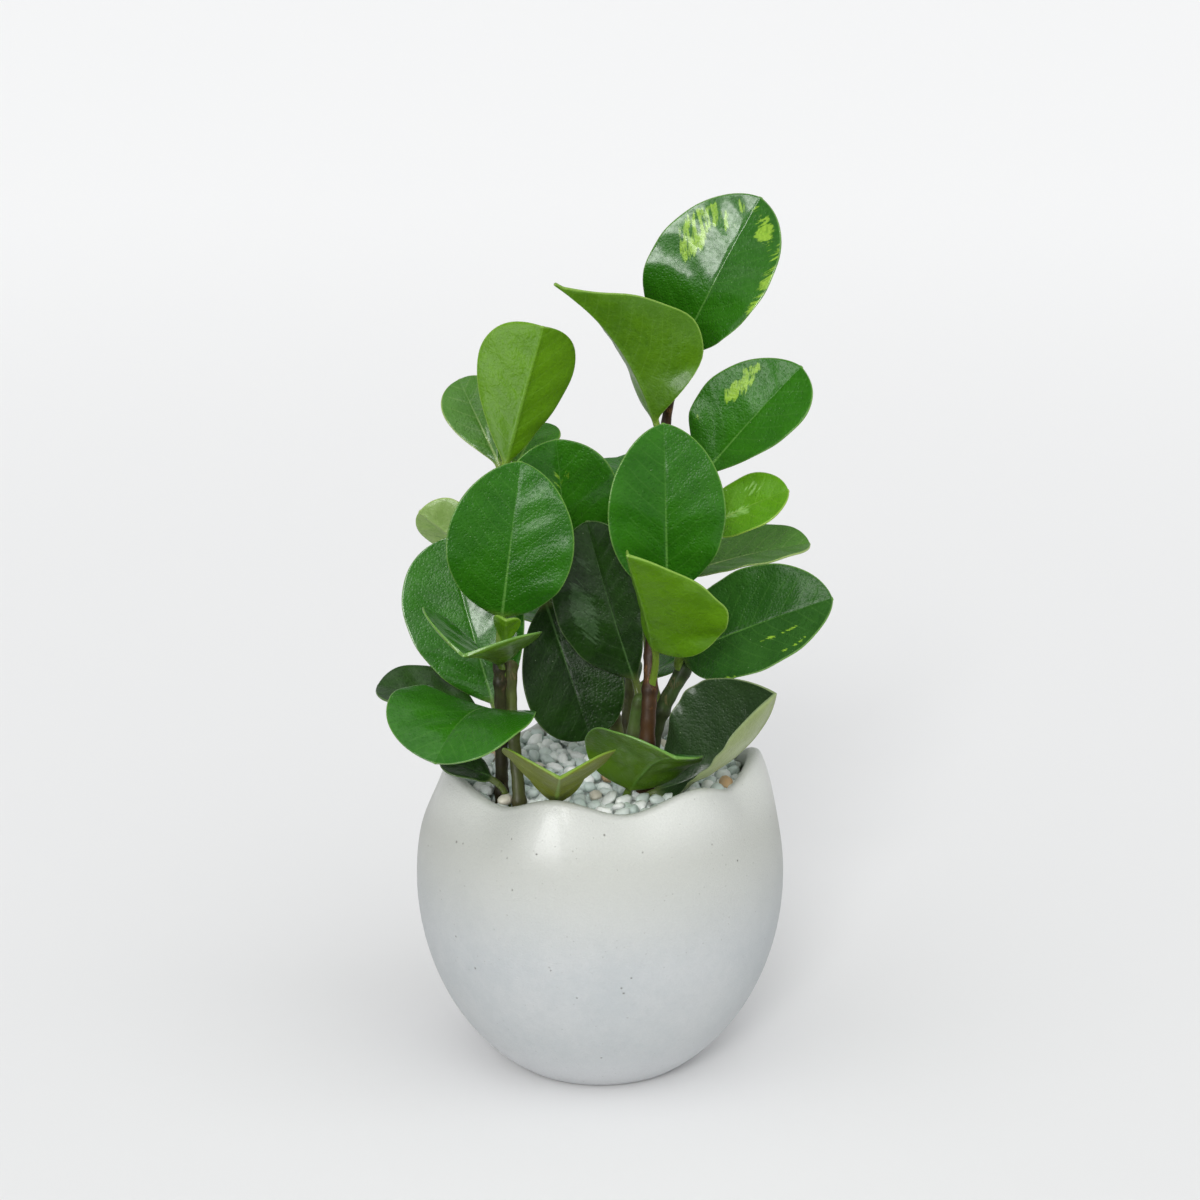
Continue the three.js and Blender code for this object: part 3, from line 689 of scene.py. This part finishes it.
def makeLeafMaterial(name, look, skin, shift):
    material, shader = newMaterial(name, 1.45, 0.13, {"Coat Roughness": 0.14})
    clouds, grain = mottled(*skin["clouds"], shift)
    shade = plus(times(attribute("tone"), skin["toneShare"]), times(clouds, 1 - skin["toneShare"]))
    shade = put("ShaderNodeClamp", {"Value": shade}).outputs[0]
    midrib, sideVeins, margin = grouped(veinsGroup)
    spots = attribute("streak")
    brushed = noise(veinwise(skin["veinTurn"], skin["fleckStretch"]), 1.0, 4.0, 0.65, 0.4)
    zone = plus(times(spots, 0.5), brushed)
    streak = times(ease(zone, skin["fleckStart"], skin["fleckStart"] + 0.09),
                   ease(spots, 0.1, 0.9, 0.2, 1.0), ease(grain, 0.2, 0.6, 0.55, 0.95))
    fading = ease(attribute("along"), 0.15, 0.8, skin["midrib"], skin["midribTip"])
    faces = {}
    for face, streakShare, ribShare in (("upper", 1.0, fading), ("lower", 0.5, skin["underRib"])):
        colour = tint(shade, look[face + "Deep"], look[face])
        colour = tint(times(streak, streakShare), colour, look["streak"])
        colour = tint(times(sideVeins, skin["sideVein"]), colour, look["vein"])
        faces[face] = tint(times(midrib, ribShare), colour, look["vein"])
    upper = attribute("upper")
    facing = ease(upper, 0.0, 1.0, skin["underside"], 1.0)
    colour = tint(upper, faces["lower"], faces["upper"])
    colour = tint(times(specked(*skin["whiteSpeck"]), 0.5, facing), colour, skin["white"])
    colour = tint(times(specked(*skin["darkSpeck"]), 0.7), colour, skin["dark"])
    colour = tint(times(margin, skin["margin"]), colour, look["margin"])
    colour = tint(ease(attribute("along"), 0.07, -0.03), colour, look["stalk"])

    cells = put("ShaderNodeTexVoronoi", {"Vector": objectPlace(), "Scale": skin["leather"]})
    leathery = times(ease(cells.outputs["Distance"], 0.05, 0.6), facing)
    swelling = plus(times(sideVeins, -0.12), clouds)
    normal = bump(swelling, skin["swell"], 0.5)
    feed(shader, {
        "Base Color": colour, "Roughness": plus(look["rough"], times(grain, 0.1)),
        "Coat Weight": times(ease(grain, 0.3, 0.7, 0.5, 1.0), look["gloss"], attribute("shine")),
        "Normal": bump(leathery, skin["leatherDepth"], 0.9, normal)})
    return material


def pieceName(kind, name):
    return kind + "".join(word.capitalize() for word in name.split("_"))


leafMaterials = {name: makeLeafMaterial("leaf" + name.capitalize(), look, leafSkin, 0.13 * i)
                 for i, (name, look) in enumerate(leafLooks.items())}
for number, (name, leaf) in enumerate(leaves.items()):
    stem = name[:name.rindex("_")]
    foot = stemPoint(stem, leaf["foot"]) if stem in stems else np.array(leaf["foot"], float)
    mesh = makeLeafMesh(pieceName("leaf", name), leaf, foot, leafShape, number)
    mesh.materials.append(leafMaterials[leaf["look"]])
    addPiece(mesh.name, mesh, "leaf", "leaf_" + name)


# Stems
stemShape = {"step": 1.1, "sides": 22, "swell": 0.2, "swellReach": 1.9, "uneven": 0.035, "tipRows": 6,
             "bareFrom": 124, "bareStep": 17, "bareGap": 9}


# Sweeps a ring along a line whose points hold their own radius
def makeTubeTree():
    given, result = newShape("tubeAlongLine", {"Sides": 22})
    line = shaped("MeshToCurve", {"Mesh": given["Geometry"]})
    own = put("GeometryNodeInputNamedAttribute", {"Name": "thickness"})
    ring = shaped("CurvePrimitiveCircle", {"Resolution": given["Sides"], "Radius": 1.0})
    tube = shaped("CurveToMesh", {"Curve": line, "Profile Curve": ring, "Fill Caps": True,
                                  "Scale": own.outputs["Attribute"]})
    return finishShape(given, result, tube)


# A stem's middle line with the radius, age and leaf scars of each point on it
def stemLine(name, stem, shape):
    curve = stemCurves[name]
    run = np.concatenate([[0], np.cumsum(np.linalg.norm(np.diff(curve, axis=0), axis=1))])
    steps = np.linspace(0, run[-1], int(run[-1] / shape["step"]))
    points = np.stack([np.interp(steps, run, curve[:, axis]) for axis in range(3)], axis=1)
    shares = np.interp(steps, run, np.linspace(0, 1, len(curve)))
    radius = blend(stem["thick"], stem["thin"], shares) / 2
    scar = np.zeros(len(steps))
    joints = [leaf["foot"] for label, leaf in leaves.items() if label.startswith(name)]
    bare = [height for height in range(shape["bareFrom"], int(points[-1][2]), shape["bareStep"])
            if all(abs(height - joint) > shape["bareGap"] for joint in joints)]
    for height in joints + bare:
        scar = np.maximum(scar, np.exp(-((points[:, 2] - height) / shape["swellReach"]) ** 2))
    radius = radius * (1 + shape["swell"] * scar + shape["uneven"] * np.sin(steps * 0.9))
    tip, count = radius[-1], shape["tipRows"]
    ahead = unit(points[-1] - points[-2]) * tip
    angles = [step / count * pi / 2 for step in range(1, count + 1)]
    points = np.vstack([points] + [points[-1] + ahead * sin(angle) * 0.9 for angle in angles])
    radius = np.append(radius, [max(tip * cos(angle), 0.05) for angle in angles])
    return points, radius, np.append(shares, [1] * count), np.append(scar, [0.3] * count)


def makeStemMaterial(name, stem, shift):
    material, shader = newMaterial(name, 1.45, 0.2, {"Coat Weight": 0.05, "Coat Roughness": 0.3})
    clouds, grain = mottled(160.0, 900.0, shift)
    place = objectPlace()
    fibres = noise(vectorCalc("MULTIPLY", place, (1500.0, 1500.0, 110.0)), 1.0, 3.0, 0.6)
    patches = ease(noise(place, 95.0, 3.0, 0.6), 0.56, 0.64)
    dry = times(patches, ease(fibres, 0.4, 0.62))
    colour = tint(attribute("age"), stem["low"], stem["high"])
    for mask, share, shade in ((clouds, 0.45, "scar"), (dry, 0.7, "dry"),
                               (attribute("scar"), 0.55, "scar")):
        colour = tint(times(mask, share), colour, stem[shade])
    normal = bump(fibres, 0.00018, 0.7)
    feed(shader, {"Base Color": colour, "Roughness": ease(grain, 0.2, 0.8, 0.42, 0.62),
                  "Normal": bump(dry, 0.0002, 0.8, normal)})
    return material


tubeTree = makeTubeTree()
for number, (name, stem) in enumerate(stems.items()):
    points, radius, shares, scar = stemLine(name, stem, stemShape)
    line = newMesh(name, points, [(i, i + 1) for i in range(len(points) - 1)])
    setAttribute(line, "thickness", radius * mm)
    setAttribute(line, "age", shares)
    setAttribute(line, "scar", scar)
    material = makeStemMaterial(pieceName("stemSkin", name), stem, 0.17 * number)
    made = shapeByNodes(pieceName("stem", name), line, tubeTree,
                        {"Sides": stemShape["sides"], "Material": material})
    addPiece(made.name, cleanMesh(made), "stem", "stem_" + name)


# Pot
pot = {
    "radius": 75, "widest": 80, "upperReach": 88, "lowerReach": 90, "wall": 6, "floor": 8, "rim": 128,
    "waves": 7, "dip": 10, "waveHeight": 3.5, "wavePinch": 1.6, "lean": 1.5, "waveDepth": 34,
    "footRound": 2.2, "footRing": 5, "footHollow": 1.3, "sides": 252,
}


def eggRadius(height, inset=0):
    reach = pot["upperReach"] if height > pot["widest"] else pot["lowerReach"]
    share = (height - pot["widest"]) / (reach - inset)
    return (pot["radius"] - inset) * sqrt(1 - share * share)


# Radius and height from the middle of the underside, out, up, over the lip and down inside
def potProfile():
    foot = eggRadius(0)
    wall, floor, corner, hollow = pot["wall"], pot["floor"], pot["footRound"], pot["footHollow"]
    inner = foot - corner - pot["footRing"]
    points = [(r, hollow) for r in np.linspace(0, inner - 2, 6)]
    points += [(inner - 1, hollow * 0.75), (inner - 0.3, hollow * 0.25), (inner + 0.6, 0)]
    points += [(foot - corner - 0.6, 0), (foot - corner * 0.35, corner * 0.12)]
    lip = wall / 2
    top = pot["rim"] - lip
    points += [(eggRadius(h), h) for h in (1.1, 2.4, 4, 6.5, *np.linspace(9, top, 50))]
    centre = (eggRadius(top) + eggRadius(top, wall)) / 2
    points += [(centre + lip * cos(a), top + lip * sin(a)) for a in np.linspace(0, pi, 13)[1:-1]]
    points += [(eggRadius(h, wall), h) for h in np.linspace(top, floor + 3, 36)]
    edge = eggRadius(floor + 3, wall)
    points += [(edge - 2, floor + 1), (edge - 5, floor)]
    return points + [(r, floor) for r in np.linspace(edge * 0.7, 0, 4)]


# Turns a line of radius and height round the axis and waves it near the rim
def makePotTree():
    lengths = ("Waves", "Dip", "Wave Height", "Wave Pinch", "Lean", "Fade From", "Fade To")
    given, result = newShape("turnedAndWaved", {"Sides": 240, "Points": 100, **dict.fromkeys(lengths, 0.0)})
    across = plus(given["Sides"], 1)
    sheet = shaped("MeshGrid", {"Size X": 1.0, "Size Y": 1.0, "Vertices X": across,
                                "Vertices Y": given["Points"]})
    position = shaped("InputPosition")
    here = axes(position)
    last = minus(given["Points"], 1)
    order = calc("ROUND", times(plus(here["Y"], 0.5), last))
    angle = times(plus(here["X"], 0.5), 2 * pi)
    found = shaped("SampleIndex", {"Geometry": given["Geometry"], "Value": position, "Index": order},
                   data_type="FLOAT_VECTOR")
    radius, _, height = axes(found)
    fade = ease(height, given["Fade From"], given["Fade To"])
    turn = times(minus(angle, given["Dip"]), given["Waves"])
    wave = times(calc("COSINE", turn), -1.0, fade)
    solid = calc("GREATER_THAN", radius, 0.001)
    outer = plus(radius, times(wave, given["Wave Pinch"], solid, fade))
    sine, cosine = calc("SINE", angle), calc("COSINE", angle)
    rise = plus(times(wave, given["Wave Height"]), times(sine, given["Lean"], fade))
    place = vectorOf(X=times(outer, sine), Y=times(outer, cosine, -1.0), Z=plus(height, rise))
    wrapped = shaped("SetPosition", {"Geometry": sheet, "Position": place})
    joined = shaped("MergeByDistance", {"Geometry": wrapped, "Distance": 0.00001})
    return finishShape(given, result, joined)


# A band's tint starts at the first height and is full at the second, in metres, and pinholes have a
# place in millimetres. The bands are painted light: a lighter foot where light from the floor falls,
# painted shade darker and warmer on the upper body and a painted highlight along the lip
potLook = {
    "glaze": ((180, 185, 187), (191, 194, 195)), "grain": (150, 152, 150), "mark": (92, 88, 80),
    "bands": ((0.03, 0.002, (204, 206, 208)), (0.06, 0.11, (185, 187, 181)),
              (0.105, 0.127, (206, 208, 203))),
    "satin": (0.42, 0.52), "duller": 0.24, "coat": (0.12, 0.18),
    "holes": (100.0, 0.06, 0.9), "specks": (260.0, 0.12, 0.8), "pinhole": 0.75,
    "pinholes": ((1.7, -65.8, 119), (-35.8, -60.8, 107.8), (-39.8, -60.9, 98.4), (-56.5, -42.7, 107.9),
                 (-49.1, -53.8, 59.2), (-39.6, -62.5, 71.2), (-19.6, -71.1, 66.7), (8.3, -72.1, 58.4),
                 (10.7, -67.5, 44.3), (30.1, -67.6, 70.3), (-38.2, -62.2, 96.9), (9.2, -71.7, 56)),
}


def makeGlaze(look):
    material, shader = newMaterial("potGlaze", 1.5, 0.4, {"Coat Roughness": 0.16})
    clouds, wear = mottled(22.0, 260.0, 0.4)
    place = objectPlace()
    high = axes(place)["Z"]
    colour = tint(clouds, *look["glaze"])
    # Painted light: a lighter foot, painted shade on the upper body and a painted highlight on the lip
    for start, full, shade in look["bands"]:
        colour = tint(ease(high, start, full), colour, shade)
    grain = noise(place, 1300.0, 2.0, 0.6)
    colour = tint(ease(grain, 0.3, 0.7, 0.0, 0.1), colour, look["grain"])
    marks = calc("MAXIMUM", specked(*look["holes"]), times(specked(*look["specks"]), 0.4))
    for spot in look["pinholes"]:
        away = vectorCalc("DISTANCE", place, [part * mm for part in spot])
        marks = calc("MAXIMUM", marks, ease(away, look["pinhole"] * mm, 0.0))
    normal = bump(noise(place, 34.0, 2.0, 0.4), 0.0016, 0.55)
    normal = bump(grain, 0.00022, 0.9, normal)
    feed(shader, {
        "Base Color": tint(times(marks, 0.8), colour, look["mark"]),
        "Roughness": plus(ease(wear, 0.2, 0.8, *look["satin"]),
                          ease(high, 0.118, 0.1, 0.0, look["duller"])),
        "Coat Weight": times(ease(clouds, 0.0, 1.0, *look["coat"]), ease(high, 0.102, 0.116)),
        "Normal": bump(marks, -0.0003, 1.0, normal)})
    return material


profile = potProfile()
line = newMesh("potLine", [(r, 0, h) for r, h in profile])
potMesh = shapeByNodes("potShell", line, makePotTree(), {
    "Sides": pot["sides"], "Points": len(profile), "Waves": float(pot["waves"]),
    "Dip": radians(pot["dip"]), "Wave Height": pot["waveHeight"] * mm,
    "Wave Pinch": pot["wavePinch"] * mm, "Lean": pot["lean"] * mm,
    "Fade From": (pot["rim"] - pot["waveDepth"]) * mm, "Fade To": pot["rim"] * mm,
    "Material": makeGlaze(potLook)})
addPiece("potShell", cleanMesh(potMesh), "pot", "pot")


# Pebbles and soil
pebbleBed = {
    "bottom": 112.4, "bedTop": 118.5, "bedSides": 90, "bedGap": 0.35,
    "layers": ((118.8, 57.2, 5.3, 5), (121.3, 56.2, 5.3, 17), (123.6, 53.8, 5.4, 29)),
    "halfSizes": (3.8, 2.7, 2.2), "smallest": (0.72, 0.72, 0.75), "largest": (1.12, 1.12, 1.1),
    "clear": 5.2, "jitter": (0.0003, 0.0003, 0.0007), "lump": 0.0022, "seed": 7,
}


def scatter(low, high, seed):
    return put("FunctionNodeRandomValue", {"Min": low, "Max": high, "Seed": seed},
               data_type="FLOAT_VECTOR").outputs[0]


def joinAll(parts):
    node = put("GeometryNodeJoinGeometry")
    for part in parts:
        feed(node.inputs, {0: part})
    return node.outputs[0]


# Scatters stones over a bed in layers, clear of the points where stems come up
def makePebbleTree(bed):
    given, result = newShape("scatteredStones", {
        "Bed": "Object", "Half Size": (0.003, 0.0025, 0.002), "Clear": 0.005, "Seed": 7})
    stone = shaped("MeshIcoSphere", {"Radius": 1.0, "Subdivisions": 2})
    layers = []
    for height, radius, apart, seed in bed["layers"]:
        disc = shaped("MeshCircle", {"Vertices": 64, "Radius": radius * mm}, fill_type="NGON")
        lifted = shaped("Transform", {"Geometry": disc, "Translation": (0, 0, height * mm)})
        spots = shaped("DistributePointsOnFaces", {
            "Mesh": lifted, "Distance Min": apart * mm, "Density Max": 400000.0,
            "Seed": plus(given["Seed"], seed)}, distribute_method="POISSON")
        near = put("GeometryNodeProximity", {"Geometry": given["Geometry"]},
                   target_element="POINTS").outputs["Distance"]
        close = calc("LESS_THAN", near, given["Clear"])
        spots = shaped("DeleteGeometry", {"Geometry": spots, "Selection": close})
        moved = scatter([-part for part in bed["jitter"]], bed["jitter"], seed + 1)
        spots = shaped("SetPosition", {"Geometry": spots, "Offset": moved})
        grown = scatter(bed["smallest"], bed["largest"], seed + 2)
        grown = vectorCalc("MULTIPLY", grown, given["Half Size"])
        turned = scatter((-0.5, -0.5, 0.0), (0.5, 0.5, 6.28), seed + 3)
        layers.append(shaped("InstanceOnPoints", {"Points": spots, "Instance": stone,
                                                  "Rotation": turned, "Scale": grown}))
    tone = put("FunctionNodeRandomValue", {"Min": 0.0, "Max": 1.0, "Seed": 3}, data_type="FLOAT")
    toned = shaped("StoreNamedAttribute", {"Geometry": joinAll(layers), "Name": "tone",
                                           "Value": tone.outputs[1]}, domain="INSTANCE")
    real = shaped("RealizeInstances", {"Geometry": toned})
    clouds = put("ShaderNodeTexNoise", {"Vector": shaped("InputPosition"), "Scale": 330.0,
                                        "Detail": 1.0}).outputs["Color"]
    lumps = vectorCalc("SUBTRACT", clouds, (0.5, 0.5, 0.5))
    lumps = vectorCalc("MULTIPLY", lumps, (bed["lump"],) * 3)
    uneven = shaped("SetPosition", {"Geometry": real, "Offset": lumps})
    under = put("GeometryNodeObjectInfo", {"Object": given["Bed"]}).outputs["Geometry"]
    return finishShape(given, result, joinAll([uneven, under]))


# A closed disc of small grit inside the pot's wall, under the loose stones
def makeBedMesh(bed):
    sides = bed["bedSides"]
    turns = [side / sides * 2 * pi for side in range(sides)]
    points = []
    for height in (bed["bottom"], (bed["bottom"] + bed["bedTop"]) / 2, bed["bedTop"]):
        fade = smoothstep(min(max((height - pot["rim"] + pot["waveDepth"]) / pot["waveDepth"], 0), 1))
        for angle in turns:
            wave = -cos(pot["waves"] * (angle - radians(pot["dip"])))
            radius = eggRadius(height, pot["wall"]) - bed["bedGap"] + pot["wavePinch"] * wave * fade * fade
            points.append((radius * sin(angle), -radius * cos(angle), height))
    ends = [tuple(range(sides))[::-1], tuple(range(2 * sides, 3 * sides))]
    return newMesh("bed", points, faces=quadsBetween(3, sides) + ends)


# A tint starts at the first tone and is full at the second, and each stone has a random tone of its own
pebbleLook = {
    "pale": (250, 252, 250), "dust": (178, 192, 188),
    "tints": ((0.0, 0.8, (204, 218, 212)), (0.92, 0.94, (226, 218, 200)), (0.975, 0.98, (206, 168, 120))),
}


def makeStoneMaterial(look):
    material, shader = newMaterial("pebbleStone", 1.5, 0.45)
    clouds, grain = mottled(260.0, 1400.0, 0.7)
    tone = attribute("tone")
    colour = look["pale"]
    for start, full, shade in look["tints"]:
        colour = tint(ease(tone, start, full), colour, shade)
    feed(shader, {"Base Color": tint(times(clouds, 0.22), colour, look["dust"]),
                  "Roughness": ease(grain, 0.2, 0.8, 0.38, 0.6), "Normal": bump(grain, 0.0002, 0.7)})
    return material


soilLook = {"dark": (48, 34, 24), "light": (82, 60, 42), "bits": (150, 128, 96),
            "bitSpeck": (160.0, 0.35, 0.25)}


def makeSoilMaterial(look):
    material, shader = newMaterial("pottingSoil", 1.4, 0.2)
    clouds, grain = mottled(90.0, 700.0, 0.2)
    bits = times(specked(*look["bitSpeck"]), 0.7)
    colour = tint(bits, tint(clouds, look["dark"], look["light"]), look["bits"])
    feed(shader, {"Base Color": colour, "Roughness": ease(grain, 0.2, 0.8, 0.85, 1.0),
                  "Normal": bump(grain, 0.0015, 1.0)})
    return material


# Where stems and the soil's leaves come up through the stones
crossings = [stemPoint(name, 121) for name in stems]
crossings += [np.array(leaf["foot"]) * 0.35 + np.array(leaf["base"]) * 0.65
              for name, leaf in leaves.items() if name.startswith("soil")]
marks = newMesh("crossings", [(x, y, z) for x, y, _ in crossings for z in (119, 121.4, 123.6)])
bedHolder = newObject("bedHolder", makeBedMesh(pebbleBed))
pebbleMesh = shapeByNodes("pebbleLayer", marks, makePebbleTree(pebbleBed), {
    "Bed": bedHolder, "Half Size": [size * mm for size in pebbleBed["halfSizes"]],
    "Clear": pebbleBed["clear"] * mm, "Seed": pebbleBed["seed"],
    "Material": makeStoneMaterial(pebbleLook)})
bpy.data.objects.remove(bedHolder)
addPiece("pebbleLayer", cleanMesh(pebbleMesh), "pebbles", "pebbles")
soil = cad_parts["soil"]
soil.data.materials.clear()
soil.data.materials.append(makeSoilMaterial(soilLook))


# Floor, painted darker near the middle and lighter far off: a painted fall-off of light
studioFloor = {"radius": 14000, "sides": 64, "near": (232, 232, 232), "far": (243, 243, 243),
               "fade": (0.2, 3.0)}


def addFloor(settings):
    material, shader = newMaterial("paleFloor", 1.4, 0.1)
    place = objectPlace()
    # Painted light: the floor's colour grows lighter with distance from the middle
    away = ease(vectorCalc("LENGTH", place), *settings["fade"])
    feed(shader, {"Base Color": tint(away, settings["near"], settings["far"]),
                  "Roughness": ease(noise(place, 30.0), 0.2, 0.8, 0.8, 0.9)})
    turns = [i / settings["sides"] * 2 * pi for i in range(settings["sides"])]
    ring = [(settings["radius"] * cos(turn), settings["radius"] * sin(turn), 0) for turn in turns]
    mesh = newMesh("studioFloor", ring, faces=[tuple(range(settings["sides"]))])
    mesh.materials.append(material)
    floor = newObject("studioFloor", mesh)


addFloor(studioFloor)
bpy.context.view_layer.update()
